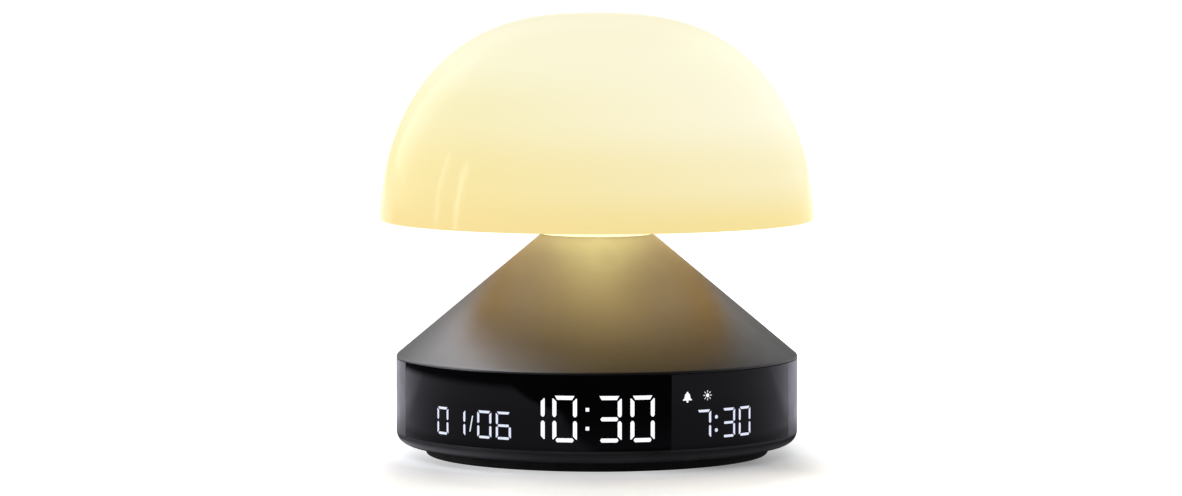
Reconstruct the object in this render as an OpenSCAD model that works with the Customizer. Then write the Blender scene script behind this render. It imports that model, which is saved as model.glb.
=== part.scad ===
// Sunrise alarm clock: a round base with a curved display, a metal cone and a glowing dome on top.
// Millimetres. +Z is up, the front faces -Y, and the origin is the centre of the footprint.

/* [Base] */
// Radius of the housing and of the cone's lip
base_r = 67; // [62:0.5:72]
// Height of the seam between the housing and the cone
seam_z = 32.2; // [31.4:0.2:40]
// Thickness of the housing's wall
base_wall = 3; // [2.8:0.1:3.6]
// Radius of the housing's rounded lower edge
edge_r = 4; // [3:0.25:5]
// Thickness of the bottom cover
cover_t = 2.4; // [2:0.1:3]
// Thickness of the chassis plate that closes the housing's top
chassis_t = 2.6; // [2.2:0.1:3.2]
// Outer radius of the four screw bosses in the housing
boss_r = 3.4; // [3:0.1:4]

/* [Foot] */
// Height of the rubber foot ring
foot_h = 3.6; // [3:0.1:5]
// Distance from the housing's wall in to the foot ring
foot_inset = 9.8; // [9:0.2:12]
// Width of the foot ring
foot_w = 8; // [7:0.5:10]
// Width of the sound gaps at the back of the foot ring
foot_gap_w = 12; // [8:1:16]

/* [Display] */
// Half of the angle that the gloss lens covers
window_half_angle = 70.5; // [66:0.5:74]
// Thickness of the gloss lens
window_t = 1.6; // [1.4:0.1:1.8]
// Height of the lens's lower edge above the housing's rounded edge
window_sill = 0.2; // [0.2:0.1:1]
// Half of the angle that the light segments cover
digits_half_angle = 61; // [58:0.5:62]
// Height of the lowest light segment above the lens's lower edge
digits_margin = 1.8; // [1.2:0.1:2.4]
// Depth of the segment reflector
reflector_t = 4; // [3:0.25:5]
// Height of the large digits of the time
time_digit_h = 15.6; // [14:0.2:16]
// Height of the small digits of the date and the alarm
small_digit_h = 9.9; // [8:0.1:11]

/* [Cone] */
// Height that the cone rises from its lip to its open tip
cone_rise = 40.5; // [36:0.5:46]
// Radius of the opening at the cone's tip
cone_top_r = 18.6; // [18:0.2:22]
// Thickness of the cone's metal
cone_t = 1.2; // [1:0.1:1.5]
// Radius of the rolled edge between the lip and the cone
lip_r = 1.2; // [0.8:0.1:1.2]

/* [Shade] */
// Radius of the dome's rim, the widest part
shade_r = 72.5; // [68:0.5:80]
// Height of the dome above its rim
shade_h = 68.9; // [62:0.5:76]
// Thickness of the dome
shade_wall = 2.4; // [2:0.1:3]
// Clear height between the cone's tip and the dome's rim
shade_gap = 4.6; // [3:0.2:8]
// How far the dome travels when it is pressed
press_travel = 1.5; // [1:0.1:2]

/* [Light] */
// Wall of the opal collar around the light
collar_wall = 1.8; // [1.4:0.1:2.2]
// Radius of the dome's stem in its guide bush
stem_r = 6; // [5:0.25:6.5]
// Height of the return spring when the dome is up
spring_h = 8.4; // [8:0.2:10]
// Wire radius of the return spring
wire_r = 0.6; // [0.4:0.05:0.7]
// Turns of the return spring
spring_turns = 4; // [3:1:4]
// Number of lamps on the light board
led_count = 12; // [8:1:14]

/* [Speaker] */
// Outer radius of the speaker
speaker_r = 20; // [16:0.5:21]
// Depth of the speaker with its magnet
speaker_depth = 15; // [13:0.5:17]
// Distance of the speaker in front of the axis
speaker_y = 22; // [21.5:0.5:24]
// Radius of one hole in the speaker's grille
grille_hole_r = 1.2; // [0.8:0.1:1.5]

/* [Controls] */
// Radius of a round push button
button_r = 4; // [3:0.25:4.5]
// How far a button stands out of the housing
button_proud = 1; // [0.6:0.1:1.5]
// How far a button travels
button_travel = 0.8; // [0.4:0.1:1]
// Angle from one button to the next
button_pitch = 14; // [13:0.5:15]
// Height of the buttons above the bottom cover
button_up = 14.5; // [14.2:0.1:15]
// Travel of the alarm slider
slider_travel = 3; // [2:0.25:4]
// Width of the power inlet's mouth
inlet_w = 9; // [8.4:0.1:10]
// Height of the power inlet's mouth
inlet_h = 3.2; // [2.8:0.1:3.4]

/* [Hidden] */
$fn = 96;

// Clearances: of glued or screwed parts, of parts that move in an opening, and of a running fit
fit = 0.1;
slack = 0.25;
running = 0.05;
// How far a cut goes past the face that it opens
cut = 1;
// Screws: shank and pilot hole, head and its height
screw_r = 1.1;
pilot_r = 1.2;
head_r = 2.2;
head_h = 1.4;
// Thickness of every rigid circuit board, and of every flat cable
board_t = 1.6;
flex_t = 0.3;

// Heights and radii in the base
cover_top = foot_h + cover_t;
chassis_z = seam_z - chassis_t;
wall_in_r = base_r - base_wall;
ledge_r = base_r - edge_r - 2.6;
cover_r = ledge_r - slack;
foot_r = base_r - foot_inset;
boss_ring_r = foot_r - foot_w / 2;
boss_angles = [20, 160, 200, 340];
ledge_slope = 1.4;
web_z = cover_top + ledge_slope + 0.6;
web_t = 2;
pilot_depth = 8;
foot_gap_angles = [50, 90, 130];

// The lens and what lies behind it
window_z = foot_h + edge_r + window_sill;
window_in_r = base_r - window_t;
digits_z = window_z + digits_margin;
digits_top = digits_z + time_digit_h;
aperture_margin = 0.8;
reflector_r = wall_in_r - fit;
reflector_in_r = reflector_r - reflector_t;
reflector_z = digits_z - 1.2;
reflector_h = digits_top + 1.7 - reflector_z;
reflector_angle = digits_half_angle + 2;
display_board_r = reflector_in_r - fit;
display_board_t = 1;
chip_size = 0.9;

// Angles of the display's cells, counted from the front, and their sizes
time_cells = [-18.4, -9.2, 4, 13];
date_cells = [-50.4, -43.6, -34, -27.6];
alarm_cells = [32.4, 41.3, 47.5];
time_colon = -2.7;
alarm_colon = 36.4;
time_w = 8.2;
small_w = 6;
time_stroke = 1.6;
small_stroke = 1;
colon_r = 0.8;

// The cone: its slope follows from the lip, the tip and the rise
lip_gap = 0.1;
cone_edge_z = seam_z + 0.7;
cone_top_z = cone_edge_z + cone_rise;
cone_slope = cone_rise / (base_r - cone_top_r);
cone_angle = atan(cone_slope);
cone_drop = cone_t / cos(cone_angle);
function cone_in_z(r) = cone_edge_z + cone_slope * (base_r - r) - cone_drop;
function cone_in_r(z) = base_r - (z + cone_drop - cone_edge_z) / cone_slope;
ring_h = 4;
ring_in_r = base_r - 11;
ring_out_r = base_r - cone_t - 0.4;
cone_screw_r = base_r - 8;
cone_screw_angles = [0, 90, 180];

// The collar of the light, the column that carries it and the dome's button inside it
collar_r = cone_top_r - 0.5;
collar_in_r = collar_r - collar_wall;
flange_r = collar_r + 2.9;
flange_t = 1.5;
flange_z = cone_in_z(flange_r) - 0.15 - flange_t;
column_r = 14;
column_in_r = 12;
column_foot_r = 24;
column_foot_t = 2.4;
column_plate_t = 2.8;
column_top = flange_z + column_plate_t;
column_screw_ring = 19;
column_screw_angles = [30, 150, 270];
shoulder_t = 1.8;
cable_y = 8;
cable_r = 1.5;
light_board_r = collar_in_r - 0.4;
light_board_top = column_top + board_t;
led_size = 2.6;
led_h = 0.8;
switch_w = 6;
switch_h = 3.5;
plunger_r = 1.6;
plunger_h = 1.5;
switch_top = light_board_top + switch_h + plunger_h;

// The stem: its end, the groove with its clip, the guide, the spring and the shoulder
stem_end = switch_top + press_travel + fit;
groove_z = stem_end + 0.7;
groove_h = 1;
groove_r = stem_r - 1;
clip_t = groove_h - fit;
clip_r = stem_r + 2.2;
clip_gap = 5;
guide_z = groove_z + groove_h + fit;
guide_h = 8;
spring_z = guide_z + guide_h;
spring_top = spring_z + spring_h;
spring_r = stem_r + 0.9 + wire_r;
bush_bore_r = spring_r + wire_r + 0.9;
bush_r = bush_bore_r + 1.3;
bush_flange_r = bush_r + 2;
bush_flange_t = 1.4;
shoulder_r = bush_bore_r - slack;
collar_top = spring_top + 0.6;
collar_top_t = 2;
collar_round = 3;
led_ring_r = (bush_r + collar_in_r) / 2;

// The dome is a superellipse turned about the axis
shade_rim_z = cone_top_z + shade_gap;
shade_top = shade_rim_z + shade_h;
rim_power = 2.658;
crown_power = 1.935;
shade_steps = 32;
socket_wall = 3;
socket_h = 10;
stem_top = shade_top - shade_wall - 0.3;
stem_wall = 1.8;
function dome_point(r, h, a) =
    [r * pow(cos(a), 2 / rim_power), shade_rim_z + h * pow(sin(a), 2 / crown_power)];

// The main board on its posts, and what stands on it
board_w = 70;
board_d = 32;
board_y = 18.5;
post_h = 3;
post_r = 3;
post_x = board_w / 2 - 4;
post_y = board_d / 2 - 4;
board_z = cover_top + post_h;
board_top = board_z + board_t;
ribbon_w = 5;
ribbon_x = head_r + 1.3 - post_x;
plug_d = 3;
plug_h = 2.2;
cell_r = 10;
cell_h = 3.2;
cell_floor = 1;
holder_wall = 1.7;
cell_x = cell_r + holder_wall + 3.3 - post_x;
chip_w = 10;
chip_h = 1.4;
chip_x = post_x - 20;
driver_w = 7;
driver_d = 5;
driver_h = 1.5;
coil_w = 5;
coil_h = 3;
side_x = post_x - 8;
cap_r = 3;
cap_h = 6;
cap_x = post_x - 23;
lead_plug_w = 6;
lead_plug_d = 4;
lead_plug_h = 3;

// The speaker fires down through the bottom cover
speaker_rim_t = 2;
speaker_wall = 1.2;
magnet_r = speaker_r * 0.55;
magnet_h = 5;
basket_r = speaker_r - 3;
basket_top = speaker_depth - magnet_h;
grille_pitch = 4;
grille_rings = 3;

// The controls at the back, placed along a radius from the axis
rear = 90;
button_z = cover_top + button_up;
button_offsets = [-2, -1, 0, 1, 2];
button_board_r = base_r - 12;
button_board_t = 1;
button_board_h = 9;
tact_w = 6;
tact_h = 3.2;
tip_r = 1.5;
tip_h = 0.5;
tact_top = button_board_r + tact_h + tip_h;
button_face = base_r + button_proud;
button_flange_r = button_r + 1.4;
flange_face = wall_in_r - 0.5;
flange_back = flange_face - 1.5;
button_stem_r = 1.5;
button_end = tact_top + button_travel + fit;
slider_angle = rear - 3.4 * button_pitch;
tab_w = 4;
tab_h = 3.6;
tab_proud = 1.4;
plate_w = 9;
plate_h = 6.4;
plate_face = wall_in_r - 0.75;
plate_back = plate_face - 1.1;
slide_body_w = 8.6;
slide_body_h = 4;
slide_body_t = 3;
slide_top = button_board_r + slide_body_t;
button_board_from = slider_angle - 8;
button_board_to = rear + 2 * button_pitch + 6;
prop_r = 2;
prop_ring_r = button_board_r - button_board_t - prop_r - fit;
prop_angles = [slider_angle + 6, rear - 1.7 * button_pitch, rear + 1.7 * button_pitch];

// The power inlet at the back, low under the buttons, level with the main board
inlet_skin = 0.3;
inlet_z = board_top + inlet_skin + inlet_h / 2;
inlet_depth = 7.4;
inlet_face = base_r - 0.8;
inlet_board_w = 18;
inlet_board_d = 14;
inlet_board_y = wall_in_r - 1.2 - inlet_board_d;
inlet_post_x = 6.5;
inlet_post_y = inlet_board_y + 3;
lead_x = inlet_post_x + post_r + 2.5;
main_edge_y = board_y + board_d / 2;

// ---- shapes that repeat ----

// A plain ring
module tube(outer, inner, h) {
    difference() {
        cylinder(r = outer, h = h);
        translate([0, 0, -cut]) cylinder(r = inner, h = h + 2 * cut);
    }
}

// Part of a ring, from one angle to another, counted from +X
module arc_band(outer, inner, z, h, from, to) {
    rotate([0, 0, from])
        rotate_extrude(angle = to - from, start = 0, $fn = 180)
            translate([inner, z]) square([outer - inner, h]);
}

// A slot's outline with round ends, centred
module slot_outline(w, h) {
    square([w - h, h], center = true);
    for (side = [-1, 1]) translate([side * (w - h) / 2, 0]) circle(d = h, $fn = 32);
}

// Turns its children so that their +Z points away from the axis, at this angle and height
module outwards(angle, z) {
    rotate([0, 0, angle]) translate([0, 0, z]) rotate([0, 90, 0]) children();
}

// Places its children at a point of a ring round the axis
module on_ring(angle, r, z) {
    rotate([0, 0, angle]) translate([r, 0, z]) children();
}

// A pan-head screw with a cross recess: the head's seat is at z = 0 and the shank points up
module screw(shank_h) {
    difference() {
        union() {
            translate([0, 0, -head_h]) cylinder(r = head_r, h = head_h, $fn = 32);
            cylinder(r = screw_r, h = shank_h, $fn = 32);
        }
        translate([-1.4, -0.3, -head_h - cut]) cube([2.8, 0.6, cut + 0.6]);
        translate([-0.3, -1.4, -head_h - cut]) cube([0.6, 2.8, cut + 0.6]);
    }
}

// ---- the housing ----

// Outline of the wall with its rounded lower edge and the ledge round the bottom cover
module housing_profile() {
    edge_x = base_r - edge_r;
    edge_y = foot_h + edge_r;
    polygon(concat(
        [[ledge_r, foot_h]],
        [for (a = [0 : 10 : 90]) [edge_x + edge_r * sin(a), edge_y - edge_r * cos(a)]],
        [[base_r, seam_z - 0.3], [base_r - 0.3, seam_z], [wall_in_r, seam_z]],
        [[wall_in_r, cover_top + ledge_slope], [ledge_r + 1.6, cover_top], [ledge_r, cover_top]]
    ));
}

// A screw boss with the web that ties it to the wall
module boss(angle) {
    on_ring(angle, boss_ring_r, cover_top) cylinder(r = boss_r, h = chassis_z - cover_top);
    on_ring(angle, boss_ring_r, web_z) translate([0, -web_t / 2, 0])
        cube([wall_in_r + 0.6 - boss_ring_r, web_t, chassis_z - web_z]);
}

module base_housing() {
    color([0.07, 0.07, 0.08]) difference() {
        union() {
            rotate_extrude($fn = 180) housing_profile();
            for (a = boss_angles) boss(a);
        }
        // seat of the lens, open at the seam
        arc_band(base_r + cut, window_in_r - fit, window_z - fit, seam_z + cut - window_z,
                 -rear - window_half_angle, -rear + window_half_angle);
        // light opening behind the lens
        arc_band(base_r + cut, wall_in_r - cut, digits_z - aperture_margin,
                 time_digit_h + 2 * aperture_margin,
                 -rear - digits_half_angle, -rear + digits_half_angle);
        for (a = boss_angles) {
            on_ring(a, boss_ring_r, foot_h) cylinder(r = pilot_r, h = cover_t + pilot_depth, $fn = 32);
            on_ring(a, boss_ring_r, chassis_z - pilot_depth)
                cylinder(r = pilot_r, h = pilot_depth + cut, $fn = 32);
        }
        for (i = button_offsets)
            outwards(rear + i * button_pitch, button_z) translate([0, 0, wall_in_r - cut])
                cylinder(r = button_r + slack, h = base_wall + 3 * cut);
        outwards(slider_angle, button_z)
            translate([-tab_h / 2 - slack, -tab_w / 2 - slack, wall_in_r - cut])
                cube([tab_h + 2 * slack, tab_w + slider_travel + 2 * slack, base_wall + 3 * cut]);
        translate([0, wall_in_r - cut, inlet_z]) rotate([-90, 0, 0])
            linear_extrude(base_wall + 2 * cut)
                slot_outline(inlet_w + 2 * (inlet_skin + fit), inlet_h + 2 * (inlet_skin + fit));
    }
}

module display_window() {
    edge_gap = 0.06;
    color([0.02, 0.02, 0.025])
        arc_band(base_r, window_in_r, window_z, seam_z - fit - window_z,
                 -rear - window_half_angle + edge_gap, -rear + window_half_angle - edge_gap);
}

// ---- the display behind the lens ----

// A light segment: a box through the reflector, placed sideways and up from the cell's middle
module bar(x, z, w, h) {
    translate([x - w / 2, -wall_in_r - cut, z - h / 2]) cube([w, reflector_t + 2 * cut, h]);
}

// The seven segments of one cell
module cell_bars(angle, h, w, stroke) {
    flat_w = w - 2.6 * stroke;
    side_h = h / 2 - 1.6 * stroke;
    rotate([0, 0, angle]) translate([0, 0, digits_z + h / 2]) {
        for (level = [-1, 0, 1]) bar(0, level * (h - stroke) / 2, flat_w, stroke);
        for (side = [-1, 1], level = [-1, 1])
            bar(side * (w - stroke) / 2, level * h / 4, stroke, side_h);
    }
}

// The two round dots of a colon
module colon_dots(angle, h) {
    for (up = [0.3, 0.7])
        outwards(angle - rear, digits_z + up * h) translate([0, 0, reflector_in_r - cut])
            cylinder(r = colon_r, h = reflector_t + 2 * cut, $fn = 32);
}

module digit_reflector() {
    color([0.85, 0.85, 0.85]) difference() {
        arc_band(reflector_r, reflector_in_r, reflector_z, reflector_h,
                 -rear - reflector_angle, -rear + reflector_angle);
        for (a = time_cells) cell_bars(a, time_digit_h, time_w, time_stroke);
        for (a = concat(date_cells, alarm_cells))
            cell_bars(a, small_digit_h, small_w, small_stroke);
        colon_dots(time_colon, time_digit_h);
        colon_dots(alarm_colon, small_digit_h);
    }
}

module display_board() {
    color([0.05, 0.25, 0.12])
        arc_band(display_board_r, display_board_r - display_board_t, reflector_z, reflector_h,
                 -rear - reflector_angle, -rear + reflector_angle);
}

// The lamp chips of one cell, one in each upright segment
module cell_chips(angle, h, w, stroke) {
    for (side = [-1, 1], up = [0.25, 0.75])
        rotate([0, 0, angle])
            translate([side * (w - stroke) / 2 - chip_size / 2, -display_board_r - chip_size,
                       digits_z + up * h - chip_size / 2])
                cube(chip_size);
}

module display_leds() {
    color("white") {
        for (a = time_cells) cell_chips(a, time_digit_h, time_w, time_stroke);
        for (a = concat(date_cells, alarm_cells))
            cell_chips(a, small_digit_h, small_w, small_stroke);
    }
}

// Flat cable from the main board forward to the display board, with its plug
module display_ribbon() {
    far_x = abs(ribbon_x);
    display_y = sqrt(pow(display_board_r - display_board_t, 2) - far_x * far_x) - fit;
    plug_y = main_edge_y - board_d + 1;
    color([0.8, 0.75, 0.6]) {
        translate([ribbon_x, -display_y, board_top]) cube([ribbon_w, display_y + plug_y + 1, flex_t]);
        translate([ribbon_x, plug_y, board_top]) cube([ribbon_w, plug_d, plug_h]);
    }
}

// ---- the bottom of the base ----

// Rings of holes under the speaker
module grille() {
    translate([0, -speaker_y, foot_h - cut]) {
        cylinder(r = grille_hole_r, h = cover_t + 2 * cut, $fn = 24);
        for (ring = [1 : grille_rings], i = [0 : 6 * ring - 1])
            rotate([0, 0, i * 60 / ring]) translate([ring * grille_pitch, 0, 0])
                cylinder(r = grille_hole_r, h = cover_t + 2 * cut, $fn = 24);
    }
}

module bottom_cover() {
    post_places = [for (x = [-1, 1], y = [-1, 1]) [x * post_x, board_y + y * post_y]];
    inlet_places = [for (x = [-1, 1]) [x * inlet_post_x, inlet_post_y]];
    color([0.09, 0.09, 0.1]) difference() {
        union() {
            translate([0, 0, foot_h]) cylinder(r = cover_r, h = cover_t, $fn = 180);
            for (p = concat(post_places, inlet_places))
                translate([p[0], p[1], foot_h]) cylinder(r = post_r, h = board_z - foot_h);
            for (a = prop_angles)
                on_ring(a, prop_ring_r, foot_h)
                    cylinder(r = prop_r, h = button_z + button_board_h / 2 - foot_h);
            translate([0, -speaker_y, foot_h]) tube(speaker_r + 2, speaker_r + fit, cover_t + 1.6);
        }
        for (p = concat(post_places, inlet_places))
            translate([p[0], p[1], cover_top]) cylinder(r = pilot_r, h = post_h + cut, $fn = 32);
        for (a = boss_angles) {
            on_ring(a, boss_ring_r, foot_h - cut)
                cylinder(r = head_r + fit, h = head_h + fit + cut, $fn = 32);
            on_ring(a, boss_ring_r, foot_h - cut)
                cylinder(r = pilot_r, h = cover_t + 2 * cut, $fn = 32);
        }
        grille();
    }
}

module foot_ring() {
    gap_h = foot_h * 0.6;
    color([0.05, 0.05, 0.05]) difference() {
        rotate_extrude($fn = 180) polygon([
            [foot_r - foot_w, 0], [foot_r - 0.4, 0], [foot_r, 0.4],
            [foot_r, foot_h], [foot_r - foot_w, foot_h]
        ]);
        for (a = foot_gap_angles)
            on_ring(a, foot_r - foot_w / 2, 0)
                translate([-foot_w, -foot_gap_w / 2, -cut]) cube([2 * foot_w, foot_gap_w, gap_h + cut]);
    }
}

module cover_screws() {
    color([0.6, 0.6, 0.62])
        for (a = boss_angles)
            on_ring(a, boss_ring_r, foot_h + head_h + fit) screw(cover_t + pilot_depth - head_h - 1);
}

// ---- the main board ----

module main_board() {
    color([0.05, 0.3, 0.14]) difference() {
        translate([-board_w / 2, board_y - board_d / 2, board_z]) cube([board_w, board_d, board_t]);
        for (x = [-1, 1], y = [-1, 1])
            translate([x * post_x, board_y + y * post_y, board_z - cut])
                cylinder(r = pilot_r, h = board_t + 2 * cut, $fn = 32);
    }
}

module board_screws() {
    shank = board_t + post_h - 0.4;
    color([0.6, 0.6, 0.62]) {
        for (x = [-1, 1], y = [-1, 1])
            translate([x * post_x, board_y + y * post_y, board_top]) rotate([180, 0, 0]) screw(shank);
        for (x = [-1, 1])
            translate([x * inlet_post_x, inlet_post_y, board_top]) rotate([180, 0, 0]) screw(shank);
    }
}

// The processor, the light's driver with its coil, and two capacitors
module board_chips() {
    color([0.12, 0.12, 0.13]) translate([0, board_y, board_top]) {
        translate([chip_x - chip_w / 2, -chip_w / 2, 0]) cube([chip_w, chip_w, chip_h]);
        translate([side_x - driver_w / 2, -post_y, 0]) cube([driver_w, driver_d, driver_h]);
        translate([side_x - coil_w / 2, -coil_w / 5, 0]) cube([coil_w, coil_w, coil_h]);
        for (x = [cap_x, side_x])
            translate([x, post_y - cap_r, 0]) cylinder(r = cap_r, h = cap_h, $fn = 32);
    }
}

// A round cup for the coin cell, cut away at one side so that the cell can be pushed out
module battery_holder() {
    color([0.15, 0.15, 0.16]) translate([cell_x, board_y, board_top]) difference() {
        cylinder(r = cell_r + holder_wall, h = cell_floor + cell_h);
        translate([0, 0, cell_floor]) cylinder(r = cell_r + fit, h = cell_h + cut);
        translate([-4, 0, cell_floor]) cube([8, cell_r + holder_wall + cut, cell_h + cut]);
    }
}

module coin_cell() {
    color([0.75, 0.75, 0.77]) translate([cell_x, board_y, board_top + cell_floor]) {
        cylinder(r = cell_r, h = cell_h * 0.75);
        cylinder(r = cell_r - 1.2, h = cell_h);
    }
}

// ---- the speaker ----

module speaker_frame() {
    color([0.25, 0.25, 0.27]) translate([0, -speaker_y, cover_top]) rotate_extrude() polygon([
        [speaker_r - 3.6, 0], [speaker_r, 0], [speaker_r, speaker_rim_t],
        [basket_r, speaker_rim_t], [magnet_r, basket_top], [magnet_r - 4, basket_top],
        [magnet_r - 4, basket_top - speaker_wall], [magnet_r - speaker_wall, basket_top - speaker_wall],
        [basket_r - speaker_wall, speaker_rim_t], [speaker_r - 3.6, speaker_rim_t]
    ]);
}

module speaker_magnet() {
    color([0.35, 0.35, 0.37]) translate([0, -speaker_y, cover_top + basket_top])
        cylinder(r = magnet_r, h = magnet_h);
}

// The paper cone with its roll at the rim and its coil at the neck
module speaker_cone() {
    rim = speaker_r - 3.6 - fit;
    neck = magnet_r * 0.45;
    color([0.1, 0.1, 0.1]) translate([0, -speaker_y, cover_top]) rotate_extrude() polygon([
        [0, 2.4], [neck, 3.4], [rim - 2.5, 0.6], [rim, 0.6], [rim, 1.2], [rim - 2.3, 1.2],
        [neck + 0.6, 4.2], [neck + 0.6, basket_top - fit], [neck, basket_top - fit],
        [neck, 4], [0, 3]
    ]);
}

// ---- power inlet ----

module inlet_board() {
    color([0.05, 0.3, 0.14]) difference() {
        translate([-inlet_board_w / 2, inlet_board_y, board_z])
            cube([inlet_board_w, inlet_board_d, board_t]);
        for (x = [-1, 1])
            translate([x * inlet_post_x, inlet_post_y, board_z - cut])
                cylinder(r = pilot_r, h = board_t + 2 * cut, $fn = 32);
    }
}

// A metal shell with a tongue, open to the back of the clock
module power_inlet() {
    tongue_t = 0.7;
    back_t = 1.5;
    color([0.7, 0.7, 0.72]) translate([0, inlet_face, inlet_z]) rotate([90, 0, 0]) {
        difference() {
            linear_extrude(inlet_depth)
                slot_outline(inlet_w + 2 * inlet_skin, inlet_h + 2 * inlet_skin);
            translate([0, 0, -cut]) linear_extrude(inlet_depth + cut - back_t)
                slot_outline(inlet_w, inlet_h);
        }
        translate([-inlet_w / 2 + 1.2, -tongue_t / 2, 1])
            cube([inlet_w - 2.4, tongue_t, inlet_depth - 1]);
    }
}

// Flat lead from the inlet board to the main board
module inlet_lead() {
    lap = 2.5;
    color([0.7, 0.15, 0.12])
        translate([-ribbon_w / 2, main_edge_y - lap, board_top])
            cube([ribbon_w, inlet_board_y - main_edge_y + 2 * lap, flex_t]);
}

// ---- controls at the back ----

module button_board() {
    color([0.05, 0.3, 0.14])
        arc_band(button_board_r, button_board_r - button_board_t, button_z - button_board_h / 2,
                 button_board_h, button_board_from, button_board_to);
}

module button_switches() {
    color([0.2, 0.2, 0.22])
        for (i = button_offsets)
            outwards(rear + i * button_pitch, button_z) {
                translate([-tact_w / 2, -tact_w / 2, button_board_r]) cube([tact_w, tact_w, tact_h]);
                translate([0, 0, button_board_r + tact_h])
                    cylinder(r = tip_r, h = tip_h, $fn = 32);
            }
}

module slide_switch() {
    color([0.2, 0.2, 0.22])
        outwards(slider_angle, button_z)
            translate([-slide_body_h / 2, -slide_body_w / 2, button_board_r])
                cube([slide_body_h, slide_body_w, slide_body_t]);
}

// Flat cable from the main board back and up to the button board
module button_ribbon() {
    far_x = lead_x + ribbon_w;
    back_y = sqrt(pow(button_board_r - button_board_t, 2) - far_x * far_x) - fit;
    lap = 3;
    color([0.8, 0.75, 0.6]) {
        translate([lead_x, main_edge_y - lap, board_top])
            cube([ribbon_w, back_y - main_edge_y + lap, flex_t]);
        translate([lead_x, back_y - flex_t, board_top]) cube([ribbon_w, flex_t, button_z - board_top]);
    }
}

// A round push button: cap, flange behind the wall, and the stem that meets its switch
module push_button(offset) {
    outwards(rear + offset * button_pitch, button_z) rotate_extrude($fn = 64) polygon([
        [0, button_end], [button_stem_r, button_end], [button_stem_r, flange_back],
        [button_flange_r, flange_back], [button_flange_r, flange_face],
        [button_r, flange_face], [button_r, button_face - 0.4],
        [button_r - 0.4, button_face], [0, button_face]
    ]);
}

module time_button() {
    color([0.12, 0.12, 0.13]) push_button(2);
}

module alarm_button() {
    color([0.12, 0.12, 0.13]) push_button(1);
}

module light_button() {
    color([0.12, 0.12, 0.13]) push_button(0);
}

module minus_button() {
    color([0.12, 0.12, 0.13]) push_button(-1);
}

module plus_button() {
    color([0.12, 0.12, 0.13]) push_button(-2);
}

// The alarm's on-off slider: a ribbed tab, a plate behind the wall and a pin into its switch
module alarm_slider() {
    pin_w = 3;
    rib_pitch = 1;
    color([0.12, 0.12, 0.13]) outwards(slider_angle, button_z) difference() {
        union() {
            translate([-tab_h / 2, -tab_w / 2, plate_back])
                cube([tab_h, tab_w, base_r + tab_proud - plate_back]);
            translate([-plate_h / 2, -plate_w / 2, plate_back])
                cube([plate_h, plate_w, plate_face - plate_back]);
            translate([-pin_w / 2, -pin_w / 2, slide_top + fit])
                cube([pin_w, pin_w, plate_back - slide_top]);
        }
        for (i = [-1 : 1])
            translate([-tab_h / 2 - cut, i * rib_pitch - 0.25, base_r + tab_proud - 0.5])
                cube([tab_h + 2 * cut, 0.5, cut]);
    }
}

// ---- chassis and cone ----

module chassis_plate() {
    color([0.2, 0.2, 0.21]) difference() {
        translate([0, 0, chassis_z]) cylinder(r = wall_in_r - slack, h = chassis_t, $fn = 180);
        translate([0, 0, chassis_z - cut]) cylinder(r = cable_y + cable_r + 0.6, h = chassis_t + 2 * cut);
        for (a = boss_angles)
            on_ring(a, boss_ring_r, chassis_z - cut)
                cylinder(r = pilot_r, h = chassis_t + 2 * cut, $fn = 32);
        for (a = cone_screw_angles)
            on_ring(a, cone_screw_r, chassis_z - cut)
                cylinder(r = pilot_r, h = chassis_t + 2 * cut, $fn = 32);
        for (a = column_screw_angles)
            on_ring(a, column_screw_ring, chassis_z - cut)
                cylinder(r = pilot_r, h = chassis_t + 2 * cut, $fn = 32);
    }
}

module chassis_screws() {
    color([0.6, 0.6, 0.62])
        for (a = boss_angles)
            on_ring(a, boss_ring_r, seam_z) rotate([180, 0, 0]) screw(chassis_t + pilot_depth - 1);
}

// The ring glued inside the cone's lip, which takes the screws from below
module cone_ring() {
    color([0.2, 0.2, 0.21]) difference() {
        rotate_extrude($fn = 180) polygon([
            [ring_in_r, seam_z],
            [min(ring_out_r, cone_in_r(seam_z + 0.3) - fit), seam_z],
            [min(ring_out_r, cone_in_r(seam_z + 0.3) - fit), seam_z + 0.3],
            [cone_in_r(seam_z + ring_h) - fit, seam_z + ring_h],
            [ring_in_r, seam_z + ring_h]
        ]);
        for (a = cone_screw_angles)
            on_ring(a, cone_screw_r, seam_z - cut)
                cylinder(r = pilot_r, h = cut + ring_h - 1, $fn = 32);
    }
}

module cone_screws() {
    color([0.6, 0.6, 0.62])
        for (a = cone_screw_angles)
            on_ring(a, cone_screw_r, chassis_z) screw(chassis_t + ring_h - 1.5);
}

// The metal cone: a short upright lip, a rolled edge and the straight flank up to the open tip
module cone_cap() {
    turn = 90 - cone_angle;
    roll = lip_r * tan(turn / 2);
    roll_x = base_r - lip_r;
    roll_z = cone_edge_z - roll;
    tip_in_z = cone_in_z(cone_top_r);
    lip_in_r = base_r - cone_t;
    color([0.55, 0.52, 0.48]) rotate_extrude($fn = 180) polygon(concat(
        [[lip_in_r, seam_z + lip_gap], [base_r, seam_z + lip_gap]],
        [for (i = [0 : 5]) let (a = turn * i / 5) [roll_x + lip_r * cos(a), roll_z + lip_r * sin(a)]],
        [[cone_top_r, cone_top_z], [cone_top_r, tip_in_z]],
        [[lip_in_r, cone_in_z(lip_in_r)]]
    ));
}

// ---- the light ----

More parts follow.
